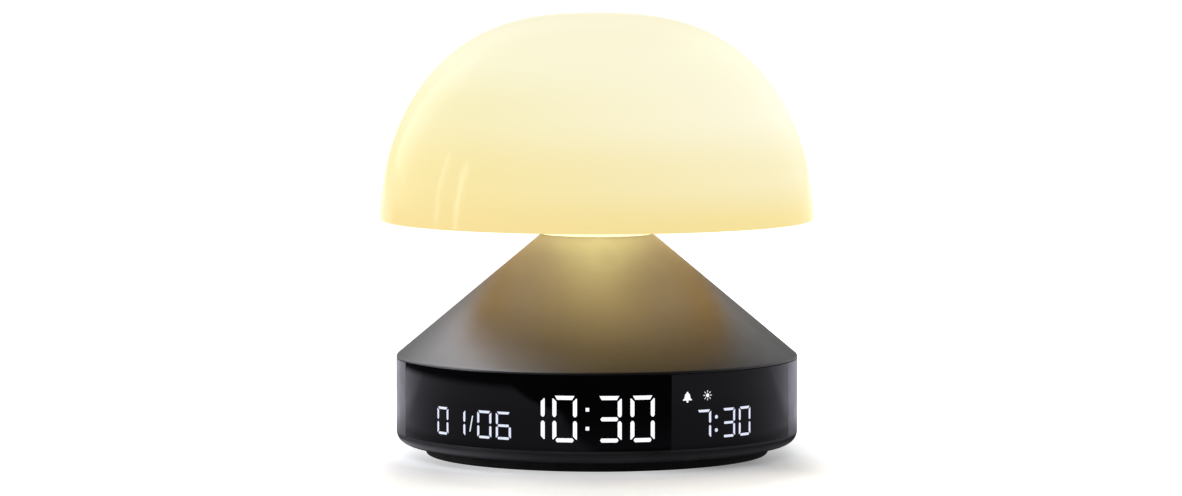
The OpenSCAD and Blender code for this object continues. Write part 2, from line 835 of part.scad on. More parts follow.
// The heat sink: a foot on the chassis, a tube, a shoulder for the collar and a seat for the board
module lamp_column() {
    plate_r = collar_in_r - 0.4;
    color([0.7, 0.71, 0.73]) difference() {
        rotate_extrude() polygon([
            [column_in_r, seam_z], [column_foot_r, seam_z], [column_foot_r, seam_z + column_foot_t],
            [column_r, seam_z + column_foot_t], [column_r, flange_z - shoulder_t - 4],
            [flange_r, flange_z - shoulder_t], [flange_r, flange_z], [plate_r, flange_z],
            [plate_r, column_top], [0, column_top], [0, flange_z], [column_in_r, flange_z]
        ]);
        translate([0, cable_y, flange_z - cut])
            cylinder(r = cable_r + slack, h = column_plate_t + 2 * cut, $fn = 32);
        for (a = column_screw_angles)
            on_ring(a, column_screw_ring, seam_z - cut)
                cylinder(r = pilot_r, h = column_foot_t + 2 * cut, $fn = 32);
    }
}

module column_screws() {
    color([0.6, 0.6, 0.62])
        for (a = column_screw_angles)
            on_ring(a, column_screw_ring, seam_z + column_foot_t)
                rotate([180, 0, 0]) screw(column_foot_t + chassis_t - 0.3);
}

// The lead that runs up the column, with its plug on the main board
module lamp_cable() {
    color([0.85, 0.85, 0.82]) {
        translate([-lead_plug_w / 2, cable_y - lead_plug_d / 2, board_top])
            cube([lead_plug_w, lead_plug_d, lead_plug_h]);
        translate([0, cable_y, board_top]) cylinder(r = cable_r, h = column_top - board_top, $fn = 32);
    }
}

module light_board() {
    color([0.92, 0.92, 0.92]) translate([0, 0, column_top]) cylinder(r = light_board_r, h = board_t);
}

module light_leds() {
    color([1, 0.9, 0.5])
        for (i = [0 : led_count - 1])
            on_ring(i * 360 / led_count, led_ring_r - led_size / 2, light_board_top)
                translate([0, -led_size / 2, 0]) cube([led_size, led_size, led_h]);
}

module press_switch() {
    color([0.2, 0.2, 0.22]) translate([0, 0, light_board_top]) {
        translate([-switch_w / 2, -switch_w / 2, 0]) cube([switch_w, switch_w, switch_h]);
        translate([0, 0, switch_h]) cylinder(r = plunger_r, h = plunger_h, $fn = 32);
    }
}

// The opal collar that glows between the cone and the dome: a cup turned upside down
module light_diffuser() {
    inner_round = collar_round - collar_wall;
    ceiling = collar_top - collar_top_t;
    color([1, 0.93, 0.7]) rotate_extrude() polygon(concat(
        [[collar_in_r, flange_z], [flange_r, flange_z], [flange_r, flange_z + flange_t],
         [collar_r, flange_z + flange_t]],
        [for (a = [0 : 15 : 90]) [collar_r - collar_round + collar_round * cos(a),
                                  collar_top - collar_round + collar_round * sin(a)]],
        [[bush_r + running, collar_top], [bush_r + running, ceiling]],
        [for (a = [90 : -30 : 0]) [collar_in_r - inner_round + inner_round * cos(a),
                                   ceiling - inner_round + inner_round * sin(a)]]
    ));
}

// Guides the stem below, holds the spring in its wider bore above, and hangs by its flange
module guide_bush() {
    color([0.9, 0.9, 0.88]) rotate_extrude() polygon([
        [stem_r + running, guide_z], [bush_r, guide_z], [bush_r, collar_top],
        [bush_flange_r, collar_top], [bush_flange_r, collar_top + bush_flange_t],
        [bush_bore_r, collar_top + bush_flange_t], [bush_bore_r, spring_z],
        [stem_r + running, spring_z]
    ]);
}

// A coil spring swept along its helix as one closed tube
module return_spring() {
    sides = 6;
    steps = 20 * spring_turns;
    low = spring_z + wire_r + 0.05;
    rise = spring_h - 2 * wire_r - 0.1;
    function ring_point(i, j) =
        let (a = 360 * spring_turns * i / steps, b = 360 * j / sides, r = spring_r + wire_r * cos(b))
        [r * cos(a), r * sin(a), low + rise * i / steps + wire_r * sin(b)];
    function at(i, j) = i * sides + j % sides;
    walls = [for (i = [0 : steps - 1], j = [0 : sides - 1], upper = [0, 1])
        upper == 0 ? [at(i, j), at(i + 1, j), at(i, j + 1)]
                   : [at(i, j + 1), at(i + 1, j), at(i + 1, j + 1)]];
    ends = [for (j = [1 : sides - 2], far = [0, 1])
        far == 0 ? [at(0, 0), at(0, j), at(0, j + 1)]
                 : [at(steps, 0), at(steps, j + 1), at(steps, j)]];
    color([0.7, 0.7, 0.72]) polyhedron(
        points = [for (i = [0 : steps], j = [0 : sides - 1]) ring_point(i, j)],
        faces = concat(walls, ends)
    );
}

// ---- the dome, which is pressed as one large button ----

module shade() {
    inner_r = shade_r - shade_wall;
    inner_h = shade_h - shade_wall;
    color([1, 0.95, 0.75]) {
        rotate_extrude($fn = 180) polygon(concat(
            [for (i = [0 : shade_steps]) dome_point(shade_r, shade_h, 90 * i / shade_steps)],
            [for (i = [shade_steps : -1 : 0]) dome_point(inner_r, inner_h, 90 * i / shade_steps)]
        ));
        translate([0, 0, stem_top - socket_h])
            tube(shoulder_r + fit + socket_wall, shoulder_r + fit, socket_h + 0.8);
    }
}

// The clear stem: a hollow post above, a shoulder on the spring and a neck through the bush
module shade_stem() {
    color([0.9, 0.9, 0.85, 0.6]) rotate_extrude() polygon([
        [0, stem_end], [stem_r, stem_end], [stem_r, groove_z], [groove_r, groove_z],
        [groove_r, groove_z + groove_h], [stem_r, groove_z + groove_h], [stem_r, spring_top],
        [shoulder_r, spring_top], [shoulder_r, stem_top], [shoulder_r - stem_wall, stem_top],
        [shoulder_r - stem_wall, spring_top + 4], [0, spring_top + 4]
    ]);
}

// The open ring that snaps into the stem's groove and stops the dome from lifting out
module stem_clip() {
    color([0.6, 0.6, 0.62]) translate([0, 0, groove_z + fit / 2]) difference() {
        tube(clip_r, groove_r + fit, clip_t);
        translate([0, -clip_gap / 2, -cut]) cube([clip_r + cut, clip_gap, clip_t + 2 * cut]);
    }
}

base_housing();
display_window();
digit_reflector();
display_board();
display_leds();
display_ribbon();
bottom_cover();
foot_ring();
cover_screws();
main_board();
board_screws();
board_chips();
battery_holder();
coin_cell();
speaker_frame();
speaker_magnet();
speaker_cone();
inlet_board();
power_inlet();
inlet_lead();
button_board();
button_switches();
slide_switch();
button_ribbon();
chassis_plate();
chassis_screws();
cone_ring();
cone_screws();
cone_cap();
lamp_column();
column_screws();
lamp_cable();
light_board();
light_leds();
press_switch();
light_diffuser();
guide_bush();
return_spring();
shade();
shade_stem();
stem_clip();
time_button();
alarm_button();
light_button();
minus_button();
plus_button();
alarm_slider();
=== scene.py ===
"""Looks of the sunrise alarm clock: a black base with lit digits, a satin metal cone and a glowing dome."""

import math

import bmesh
import bpy
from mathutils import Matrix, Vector


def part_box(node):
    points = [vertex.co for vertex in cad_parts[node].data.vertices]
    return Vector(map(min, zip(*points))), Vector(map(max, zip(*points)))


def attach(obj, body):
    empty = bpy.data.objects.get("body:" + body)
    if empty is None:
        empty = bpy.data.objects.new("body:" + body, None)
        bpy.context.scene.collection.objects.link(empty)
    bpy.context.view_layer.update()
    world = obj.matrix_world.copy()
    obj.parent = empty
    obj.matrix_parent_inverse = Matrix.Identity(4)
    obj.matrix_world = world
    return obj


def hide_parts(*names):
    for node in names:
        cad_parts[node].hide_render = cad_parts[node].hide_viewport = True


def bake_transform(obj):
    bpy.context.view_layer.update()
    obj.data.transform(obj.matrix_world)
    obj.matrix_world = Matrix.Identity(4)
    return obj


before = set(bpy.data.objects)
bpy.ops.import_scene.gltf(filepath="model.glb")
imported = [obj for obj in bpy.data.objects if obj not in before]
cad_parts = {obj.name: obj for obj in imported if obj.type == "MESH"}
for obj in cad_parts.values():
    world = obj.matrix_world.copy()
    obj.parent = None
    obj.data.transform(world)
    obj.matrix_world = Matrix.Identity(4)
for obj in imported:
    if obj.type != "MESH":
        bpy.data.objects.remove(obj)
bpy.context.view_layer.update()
bpy.context.scene.view_settings.view_transform = "Standard"
MM = 0.001
FULL_TURN = 2 * math.pi

# ---- sizes in metres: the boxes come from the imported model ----

_, base_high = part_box("base_housing")
cone_low, cone_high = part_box("cone_cap")
shade_low, shade_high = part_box("shade")
_, collar_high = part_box("light_diffuser")

BASE_R = base_high.x
SEAM_Z = base_high.z
CONE_TOP_Z = cone_high.z
CONE_TOP_R = 18.6 * MM
SHADE_R = shade_high.x
RIM_Z = shade_low.z
SHADE_H = shade_high.z - RIM_Z


# ---- objects ----

def add_object(name, data):
    """A new object in the scene that shows this data."""
    made = bpy.data.objects.new(name, data)
    bpy.context.collection.objects.link(made)
    return made


def add_from_bmesh(name, bm, material):
    """A new object from a finished bmesh, which is freed."""
    data = bpy.data.meshes.new(name)
    bm.to_mesh(data)
    bm.free()
    data.materials.append(material)
    return add_object(name, data)


# ---- camera: the photograph's view, fitted to the object's outline ----

def add_camera():
    """A long lens in front of the clock, a little above it and tilted down."""
    focal_mm, sensor_mm = 146.29, 36.0
    distance, height = 1.6, 0.1862
    tilt_down, roll = 4.2107, 0.0706
    data = bpy.data.cameras.new("camera")
    data.sensor_fit = "HORIZONTAL"
    data.sensor_width = sensor_mm
    data.lens = focal_mm
    camera = add_object("camera", data)
    camera.location = (0.0, -distance, height)
    camera.rotation_euler = (math.radians(90 - tilt_down), 0.0, math.radians(roll))
    bpy.context.scene.camera = camera


# ---- node helpers ----

class Nodes:
    """A node tree with short ways to add, fill and join nodes."""

    def __init__(self, tree):
        self.tree = tree
        self.tree.nodes.clear()

    def add(self, kind, **settings):
        node = self.tree.nodes.new(kind)
        for key, value in settings.items():
            setattr(node, key, value)
        return node

    def join(self, output, socket):
        self.tree.links.new(output, socket)

    def fill(self, socket, value):
        """Gives a socket a number, a colour or another node's output."""
        if isinstance(value, (int, float)):
            socket.default_value = value
        elif isinstance(value, tuple):
            socket.default_value = (*value, 1.0)
        else:
            self.join(value, socket)

    def math(self, operation, a, b=0.0):
        node = self.add("ShaderNodeMath", operation=operation)
        self.fill(node.inputs[0], a)
        self.fill(node.inputs[1], b)
        return node.outputs[0]

    def plus(self, a, b):
        return self.math("ADD", a, b)

    def minus(self, a, b):
        return self.math("SUBTRACT", a, b)

    def times(self, a, b):
        return self.math("MULTIPLY", a, b)

    def larger(self, a, b):
        return self.math("MAXIMUM", a, b)

    def length(self, x, y):
        """How far the point (x, y) lies from (0, 0)."""
        return self.math("SQRT", self.plus(self.times(x, x), self.times(y, y)))

    def split(self, coordinates="Object"):
        """X, Y and Z. Object coordinates stay with the piece when it moves."""
        node = self.add("ShaderNodeSeparateXYZ")
        self.join(self.add("ShaderNodeTexCoord").outputs[coordinates], node.inputs[0])
        return node.outputs

    def span(self, value, low, high, to_low=0.0, to_high=1.0):
        """Turns low to high into to_low to to_high, and holds the end values beyond them."""
        node = self.add("ShaderNodeMapRange", clamp=True)
        ends = zip(("From Min", "From Max", "To Min", "To Max"), (low, high, to_low, to_high))
        for key, number in ends:
            node.inputs[key].default_value = number
        self.join(value, node.inputs["Value"])
        return node.outputs["Result"]

    def fade(self, value, low, high):
        """1 up to low, and 0 from high on."""
        return self.span(value, low, high, 1.0, 0.0)

    def choose(self, factor, a, b):
        """Mixes two numbers, which are inputs 2 and 3 and output 0 of a Mix node."""
        node = self.add("ShaderNodeMix")
        self.fill(node.inputs[0], factor)
        self.fill(node.inputs[2], a)
        self.fill(node.inputs[3], b)
        return node.outputs[0]

    def mix(self, factor, a, b, blend="MIX"):
        """Mixes two colours, which are inputs 6 and 7 and output 2 of a Mix node."""
        node = self.add("ShaderNodeMix", data_type="RGBA", blend_type=blend)
        self.fill(node.inputs[0], factor)
        self.fill(node.inputs[6], a)
        self.fill(node.inputs[7], b)
        return node.outputs[2]

    def mix_surfaces(self, factor, a, b):
        node = self.add("ShaderNodeMixShader")
        for socket, output in zip(node.inputs, (factor, a, b)):
            self.join(output, socket)
        return node.outputs[0]


class Shader(Nodes):
    """A new material whose surface is a Principled BSDF."""

    def __init__(self, name):
        self.material = bpy.data.materials.new(name)
        self.material.use_nodes = True
        super().__init__(self.material.node_tree)
        self.out = self.add("ShaderNodeOutputMaterial")
        self.bsdf = self.add("ShaderNodeBsdfPrincipled")
        self.join(self.bsdf.outputs["BSDF"], self.out.inputs["Surface"])

    def set(self, **values):
        """Sets sockets of the surface, with _ for each space in their names."""
        for key, value in values.items():
            self.fill(self.bsdf.inputs[key.replace("_", " ")], value)

    def noise(self, scale, detail=3.0):
        node = self.add("ShaderNodeTexNoise")
        node.inputs["Scale"].default_value = scale
        node.inputs["Detail"].default_value = detail
        self.join(self.add("ShaderNodeTexCoord").outputs["Object"], node.inputs["Vector"])
        return node.outputs["Fac"]

    def ramp(self, factor, stops, mode="EASE"):
        """A colour for each place on the ramp. Each stop is (place, colour)."""
        node = self.add("ShaderNodeValToRGB")
        node.color_ramp.interpolation = mode
        elements = node.color_ramp.elements
        while len(elements) < len(stops):
            elements.new(0.5)
        for element, (place, colour) in zip(elements, stops):
            element.position = place
            element.color = (*colour, 1.0)
        self.join(factor, node.inputs["Fac"])
        return node.outputs["Color"]

    def bump(self, height, strength, depth_mm):
        node = self.add("ShaderNodeBump")
        node.inputs["Strength"].default_value = strength
        node.inputs["Distance"].default_value = depth_mm * MM
        self.join(height, node.inputs["Height"])
        self.join(node.outputs["Normal"], self.bsdf.inputs["Normal"])


# ---- materials. A noise's useful values lie between about 0.3 and 0.7 ----

def moulded_black(name, dark, light, roughness, grain=9000.0, depth_mm=0.004):
    """Black plastic with a fine moulded grain and faint cloudy variation."""
    s = Shader(name)
    uneven = s.span(s.noise(140.0, detail=5.0), 0.3, 0.7, roughness - 0.03, roughness + 0.04)
    s.set(Base_Color=s.ramp(s.noise(60.0, detail=4.0), [(0.35, dark), (0.65, light)]),
          Roughness=uneven, Specular_IOR_Level=0.5)
    s.bump(s.noise(grain, detail=2.0), strength=0.25, depth_mm=depth_mm)
    return s.material


def gloss_lens():
    """Smoked gloss acrylic over the display, nearly black, with faint haze from handling."""
    s = Shader("gloss_lens")
    smoke = s.ramp(s.noise(45.0), [(0.3, (0.0004, 0.0004, 0.0006)), (0.7, (0.0008, 0.0008, 0.001))])
    haze = s.span(s.noise(80.0, detail=4.0), 0.35, 0.7, 0.02, 0.05)
    s.set(Base_Color=smoke, Roughness=haze, Specular_IOR_Level=0.14)
    return s.material


def satin_metal():
    """Gunmetal anodised aluminium with a bead-blasted grain and faint cloudiness.

    Painted light makes it palest at the tip, next to the lamp, and painted shade darkens it all the way to
    the lip. The tip is also roughest.
    """
    s = Shader("satin_gunmetal")
    place = s.split()
    radius = s.length(place["X"], place["Y"])
    # Painted light and shade: palest next to the lamp at the tip, darker all the way to the lip.
    tone = s.ramp(s.span(radius, CONE_TOP_R, BASE_R), [
        (0.0, (0.370, 0.356, 0.340)), (0.15, (0.290, 0.280, 0.268)), (0.35, (0.217, 0.209, 0.203)),
        (0.6, (0.153, 0.148, 0.146)), (0.8, (0.098, 0.094, 0.094)), (1.0, (0.062, 0.061, 0.062)),
    ], "LINEAR")
    cloud = s.ramp(s.noise(30.0, detail=4.0), [(0.3, (0.92, 0.92, 0.92)), (0.7, (1.0, 1.0, 1.0))])
    grain = s.span(s.noise(220.0, detail=4.0), 0.3, 0.7, 0.38, 0.42)
    smooth_from, extra_at_tip = 0.65 * BASE_R, 0.36
    rough_tip = s.span(radius, CONE_TOP_R, smooth_from, extra_at_tip, 0.0)
    s.set(Base_Color=s.mix(1.0, tone, cloud, "MULTIPLY"), Metallic=1.0, Roughness=s.plus(grain, rough_tip))
    s.bump(s.noise(7000.0, detail=2.0), strength=0.22, depth_mm=0.004)
    return s.material


def opal_outside():
    """The lit dome from outside: cream, yellower low down and to the left, palest high on the right."""
    s = Shader("opal_outside")
    place = s.split()
    height = s.span(place["Z"], RIM_Z, RIM_Z + SHADE_H)
    left = s.ramp(height, [
        (0.0, (0.83, 0.65, 0.26)), (0.25, (0.83, 0.70, 0.31)),
        (0.55, (0.83, 0.76, 0.44)), (0.8, (0.83, 0.80, 0.56)), (1.0, (0.79, 0.76, 0.55)),
    ])
    right = s.ramp(height, [
        (0.0, (0.84, 0.69, 0.28)), (0.25, (0.87, 0.79, 0.50)),
        (0.55, (0.91, 0.88, 0.70)), (0.8, (0.90, 0.87, 0.67)), (1.0, (0.81, 0.77, 0.55)),
    ])
    across = s.span(place["X"], -0.6 * SHADE_R, 0.9 * SHADE_R)
    s.set(Emission_Color=s.mix(across, left, right), Emission_Strength=1.0,
          Base_Color=s.mix(s.noise(25.0), (0.15, 0.138, 0.095), (0.165, 0.15, 0.105)),
          Roughness=0.12, Specular_IOR_Level=0.05)
    s.bump(s.noise(35.0, detail=2.0), strength=0.05, depth_mm=0.05)
    return s.material


def opal_inside():
    """The lit dome from inside: brightest under the crown, dimmer and more orange down at the rim."""
    s = Shader("opal_inside")
    place = s.split()
    rise = s.math("ARCTAN2", s.minus(place["Z"], RIM_Z), s.length(place["X"], place["Y"]))
    glow = s.ramp(s.span(rise, 0.0, math.pi / 2), [
        (0.04, (0.32, 0.11, 0.01)), (0.13, (0.35, 0.17, 0.04)), (0.20, (0.42, 0.24, 0.09)),
        (0.27, (0.35, 0.26, 0.19)), (0.33, (0.35, 0.285, 0.28)), (0.42, (0.54, 0.41, 0.27)),
        (0.51, (0.51, 0.35, 0.20)), (0.58, (0.52, 0.34, 0.16)), (0.70, (0.64, 0.44, 0.17)),
        (0.80, (0.74, 0.50, 0.18)),
    ], "LINEAR")
    s.set(Emission_Color=glow, Emission_Strength=2.0, Roughness=0.4,
          Base_Color=s.mix(s.noise(25.0), (0.35, 0.31, 0.19), (0.37, 0.33, 0.21)))
    return s.material


def glow_collar():
    """The opal collar, the brightest part of the light: dimmest at its foot, hotter further up."""
    s = Shader("glow_collar")
    height = s.span(s.split()["Z"], CONE_TOP_Z, collar_high.z)
    glow = s.ramp(height, [
        (0.0, (0.04, 0.037, 0.024)), (0.06, (0.045, 0.041, 0.027)), (0.12, (0.42, 0.395, 0.16)),
    ], "LINEAR")
    s.set(Emission_Color=glow, Emission_Strength=27.0, Roughness=0.35,
          Base_Color=s.mix(s.noise(40.0, detail=2.0), (0.3, 0.28, 0.2), (0.34, 0.32, 0.23)))
    return s.material


def lit_segment(name, dim, bright, strength):
    """White light-emitting segments, a little uneven along their length."""
    s = Shader(name)
    s.set(Emission_Color=s.ramp(s.noise(900.0, detail=2.0), [(0.3, dim), (0.7, bright)]),
          Emission_Strength=strength, Base_Color=(0.05, 0.05, 0.05), Roughness=0.3)
    return s.material


def rubber():
    """Dull black rubber with a coarse grain."""
    s = Shader("foot_rubber")
    tone = s.ramp(s.noise(120.0, detail=4.0), [(0.3, (0.008, 0.008, 0.008)), (0.7, (0.016, 0.016, 0.016))])
    s.set(Base_Color=tone, Roughness=0.75, Specular_IOR_Level=0.3)
    s.bump(s.noise(5000.0, detail=2.0), strength=0.35, depth_mm=0.01)
    return s.material


def simple(name, dark, light, roughness, scale=200.0, metallic=0.0):
    """A plain inner or small part: two near tones, and a roughness that wanders a little."""
    s = Shader(name)
    wander = 0.05
    uneven = s.span(s.noise(scale * 2), 0.3, 0.7, roughness - wander, roughness + wander)
    s.set(Base_Color=s.mix(s.noise(scale), dark, light), Metallic=metallic, Roughness=uneven)
    return s.material


def paint(name, material):
    """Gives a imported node's object one material."""
    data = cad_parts[name].data
    data.materials.clear()
    data.materials.append(material)


# ---- turned pieces ----

STEPS_ROUND = 256
OUTSIDE, INSIDE = 0, 1


def add_mesh(name, points, faces, materials, body, sharp):
    """A new smooth piece on a body. A face is (corners, material index)."""
    data = bpy.data.meshes.new(name)
    data.from_pydata(points, [], [corners for corners, _ in faces])
    for material in materials:
        data.materials.append(material)
    for polygon, (_, index) in zip(data.polygons, faces):
        polygon.material_index = index
        polygon.use_smooth = True
    data.set_sharp_from_angle(angle=math.radians(sharp))
    data.update()
    piece = add_object(name, data)
    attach(piece, body)
    return piece


def spin(name, outline, materials, body, sharp):
    """Turns a closed outline of (radius, z, material index) about the axis.

    The index is that of the face from this point to the next. Points on the axis become one vertex.
    """
    on_axis = 1e-7
    points, rings, faces = [], [], []
    for radius, z, _ in outline:
        if radius < on_axis:
            rings.append([len(points)] * STEPS_ROUND)
            points.append((0.0, 0.0, z))
            continue
        rings.append([len(points) + i for i in range(STEPS_ROUND)])
        for i in range(STEPS_ROUND):
            turn = FULL_TURN * i / STEPS_ROUND
            points.append((radius * math.sin(turn), -radius * math.cos(turn), z))
    for k, (_, _, index) in enumerate(outline):
        here, there = rings[k], rings[(k + 1) % len(outline)]
        for i in range(STEPS_ROUND):
            j = (i + 1) % STEPS_ROUND
            corners = [here[i], here[j], there[j], there[i]]
            corners = [c for n, c in enumerate(corners) if c not in corners[:n]]
            if len(corners) > 2:
                faces.append((corners, index))
    return add_mesh(name, points, faces, materials, body, sharp)


def arc(cx, cz, radius, start, end, steps):
    """Points of an arc in the outline plane, angles in degrees from +radius towards +z."""
    turns = [math.radians(start + (end - start) * i / steps) for i in range(steps + 1)]
    return [(cx + radius * math.cos(a), cz + radius * math.sin(a)) for a in turns]


def dome_curve(radius, height, steps, rim):
    """Superellipse from the rim to the crown; its lowest stretch starts at the rim's small rounding."""
    side_power, crown_power = 2.658, 1.935
    points = []
    for i in range(steps + 1):
        a = 0.5 * math.pi * i / steps
        r = radius * math.cos(a) ** (2 / side_power) if i < steps else 0.0
        z = RIM_Z + height * math.sin(a) ** (2 / crown_power)
        if z >= RIM_Z + rim or i == steps:
            points.append((r, z))
    return points


def build_dome(outside, inside):
    """The opal shade: an outer and an inner curve that meet in a rounded rim."""
    wall, rim = 2.4 * MM, 0.7 * MM
    steps, rim_steps = 120, 6
    outer = dome_curve(SHADE_R, SHADE_H, steps, rim)
    inner = dome_curve(SHADE_R - wall, SHADE_H - wall, steps, rim)
    edge = arc(SHADE_R - rim, RIM_Z + rim, rim, -90, 0, rim_steps)
    inner_edge = arc(SHADE_R - wall + rim, RIM_Z + rim, rim, 180, 270, rim_steps)
    outline = [(r, z, OUTSIDE) for r, z in edge + outer[:-1]]
    outline += [(r, z, INSIDE) for r, z in outer[-1:] + inner[::-1]]
    outline += [(r, z, OUTSIDE) for r, z in inner_edge]
    dome = spin("opal_dome", outline, [outside, inside], "dome", sharp=50.0)
    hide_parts("shade")
    return dome


def build_cone(metal):
    """The metal cone: a thin sheet with a rolled lip at the bottom and a softened tip."""
    thickness, roll_r, tip_round = 1.2 * MM, 1.2 * MM, 0.3 * MM
    lip_bevel_in, lip_bevel_up = 0.12 * MM, 0.1 * MM
    tip_bevel_out, tip_bevel_down, tip_edge_down = 0.08 * MM, 0.02 * MM, 0.12 * MM
    lip_height = 0.7 * MM
    roll_from, roll_steps = 2, 10
    edge_z = SEAM_Z + lip_height
    slope = (CONE_TOP_Z - edge_z) / (BASE_R - CONE_TOP_R)
    angle = math.degrees(math.atan(slope))
    drop = thickness / math.cos(math.radians(angle))
    roll_z = edge_z - roll_r * math.tan(math.radians((90 - angle) / 2))
    lip_in = BASE_R - thickness
    outline = [(lip_in, cone_low.z), (BASE_R - lip_bevel_in, cone_low.z), (BASE_R, cone_low.z + lip_bevel_up)]
    outline += arc(BASE_R - roll_r, roll_z, roll_r, roll_from, 90 - angle, roll_steps)
    flank_steps = 24
    start_r, start_z = outline[-1]
    end_r, end_z = CONE_TOP_R + tip_round, CONE_TOP_Z - slope * tip_round
    outline += [(start_r + (end_r - start_r) * i / flank_steps, start_z + (end_z - start_z) * i / flank_steps)
                for i in range(1, flank_steps + 1)]
    outline += [(CONE_TOP_R + tip_bevel_out, CONE_TOP_Z - tip_bevel_down)]
    outline += [(CONE_TOP_R, CONE_TOP_Z - tip_edge_down)]
    outline += [(CONE_TOP_R, CONE_TOP_Z - drop)]
    outline += [(lip_in, edge_z + slope * (BASE_R - lip_in) - drop)]
    outline = [(r, z, OUTSIDE) for r, z in outline]
    cone = spin("satin_cone", outline, [metal], "base", sharp=40.0)
    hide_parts("cone_cap")


# ---- the return spring: a fixed coil here, though the real one shortens as the dome is pressed ----

def build_spring(steel):
    """One round wire wound in a helix, with flat cut ends."""
    low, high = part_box("return_spring")
    wire, turns = 0.6 * MM, 4
    sides, steps = 10, 120
    radius, rise = high.x - wire, high.z - low.z - 2 * wire
    bm = bmesh.new()
    rings = []
    for i in range(steps + 1):
        turn = FULL_TURN * turns * i / steps
        ring = []
        for j in range(sides):
            around = FULL_TURN * j / sides
            r = radius + wire * math.cos(around)
            z = low.z + wire + rise * i / steps + wire * math.sin(around)
            ring.append(bm.verts.new((r * math.cos(turn), r * math.sin(turn), z)))
        rings.append(ring)
    for here, there in zip(rings, rings[1:]):
        for j in range(sides):
            k = (j + 1) % sides
            bm.faces.new((here[j], there[j], there[k], here[k])).smooth = True
    bm.faces.new(rings[0])
    bm.faces.new(rings[-1][::-1])
    bmesh.ops.recalc_face_normals(bm, faces=bm.faces[:])
    spring = add_from_bmesh("coil_spring", bm, steel)
    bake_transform(spring)
    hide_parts("return_spring")


# ---- the display, in millimetres: lit segments laid flat, then bent on to the lens ----

LIT_LIFT, LIT_DEPTH = 0.03 * MM, 0.09 * MM
LIT_REACH, LIT_STRIP = 65, 1
ROUND_DOT_SIDES = 12

DIGIT_BARS = {
    "0": "abcdef", "1": "bc", "2": "abged", "3": "abcdg", "4": "fgbc",
    "5": "afgcd", "6": "afgecd", "7": "abc", "8": "abcdefg", "9": "abcdfg",
}

# Each line of digits: its foot above the table, and a digit's width, height and stroke.
TIME_LINE = (10.7, 8.0, 15.0, 1.3)
DATE_LINE = (10.85, 5.5, 9.0, 0.8)
ALARM_LINE = (10.8, 5.5, 9.5, 0.8)


def bar_outline(bar, w, h, t):
    """Corners of one segment about the digit's middle: mitred at the corners, pointed at mid height.

    w and h are the digit's width and height, and every other length is a share of the stroke t.
    """
    x, z = w / 2, h / 2
    corner, mitre = 0.62 * t, 1.2 * t
    top = [(-x + corner, z), (x - corner, z), (x - mitre, z - t), (-x + mitre, z - t)]
    point, inner, outer = 0.8 * t, 1.1 * t, 1.15 * t
    foot = [(-x + point, t / 2 - z), (-x + inner, t - z), (x - inner, t - z),
            (x - point, t / 2 - z), (x - outer, -z), (-x + outer, -z)]
    point, shoulder = 0.86 * t, 1.22 * t
    mid = [(-x + point, 0.0), (-x + shoulder, t / 2), (x - shoulder, t / 2),
           (x - point, 0.0), (x - shoulder, -t / 2), (-x + shoulder, -t / 2)]
    shoulder, waist = 0.95 * t, 0.5 * t
    side = [(x, z - 0.75 * t), (x, shoulder), (x - 0.3 * t, waist), (x - 0.7 * t, waist),
            (x - t, shoulder), (x - t, z - 1.5 * t), (x - 0.2 * t, z - 0.66 * t)]
    if bar in "adg":
        return {"a": top, "d": foot, "g": mid}[bar]
    across = 1 if bar in "bc" else -1
    up = 1 if bar in "bf" else -1
    return [(across * p, up * q) for p, q in side]


def slab(bm, corners):
    """Adds a thin closed slab from its (x, z) outline, before it is bent on to the lens."""
    area = sum(a[0] * b[1] - b[0] * a[1] for a, b in zip(corners, corners[1:] + corners[:1]))
    corners = corners if area > 0 else corners[::-1]
    front = [bm.verts.new((x * MM, -LIT_LIFT, z * MM)) for x, z in corners]
    back = [bm.verts.new((x * MM, LIT_DEPTH, z * MM)) for x, z in corners]
    bm.faces.new(front)
    bm.faces.new(back[::-1])
    for i in range(len(corners)):
        j = (i + 1) % len(corners)
        bm.faces.new((front[j], front[i], back[i], back[j]))


def bend_on_lens(name, bm, lit):
    """Cuts the slabs in narrow strips and bends them round the lens."""
    for cut in range(-LIT_REACH, LIT_REACH + 1, LIT_STRIP):
        bmesh.ops.bisect_plane(bm, geom=bm.verts[:] + bm.edges[:] + bm.faces[:],
                               plane_co=(cut * MM, 0, 0), plane_no=(1, 0, 0))
    for vert in bm.verts:
        along, lift, z = vert.co
        radius, turn = BASE_R - lift, along / BASE_R
        vert.co = (radius * math.sin(turn), -radius * math.cos(turn), z)
    piece = add_from_bmesh(name, bm, lit)
    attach(piece, "base")


def add_digits(bm, text, middles, low, w, h, t):
    """Adds one digit for each character of the text.

    Middles are measured along the curve of the lens, to the right of the middle of the front.
    """
    for digit, middle in zip(text, middles):
        for bar in DIGIT_BARS[digit]:
            slab(bm, [(middle + x, low + h / 2 + z) for x, z in bar_outline(bar, w, h, t)])


def add_dot(bm, middle, z, radius, sides):
    """Adds a regular polygon that stands on a flat side."""
    turns = [FULL_TURN * i / sides + math.pi / sides for i in range(sides)]
    slab(bm, [(middle + radius * math.cos(a), z + radius * math.sin(a)) for a in turns])


def build_display(lit, lit_small):
    """The time in large digits, the date to its left and the alarm to its right."""
    build_time(lit)
    build_date(lit_small)
    build_alarm(lit_small)
    build_bell(lit)
    build_sun(lit)


def build_time(lit):
    """Four digits, with square dots in the colon."""
    bm = bmesh.new()
    add_digits(bm, "1030", (-20.95, -10.4, 4.0, 14.82), *TIME_LINE)
    for z in (15.2, 21.3):
        add_dot(bm, middle=-3.05, z=z, radius=0.82, sides=4)
    bend_on_lens("time_digits", bm, lit)


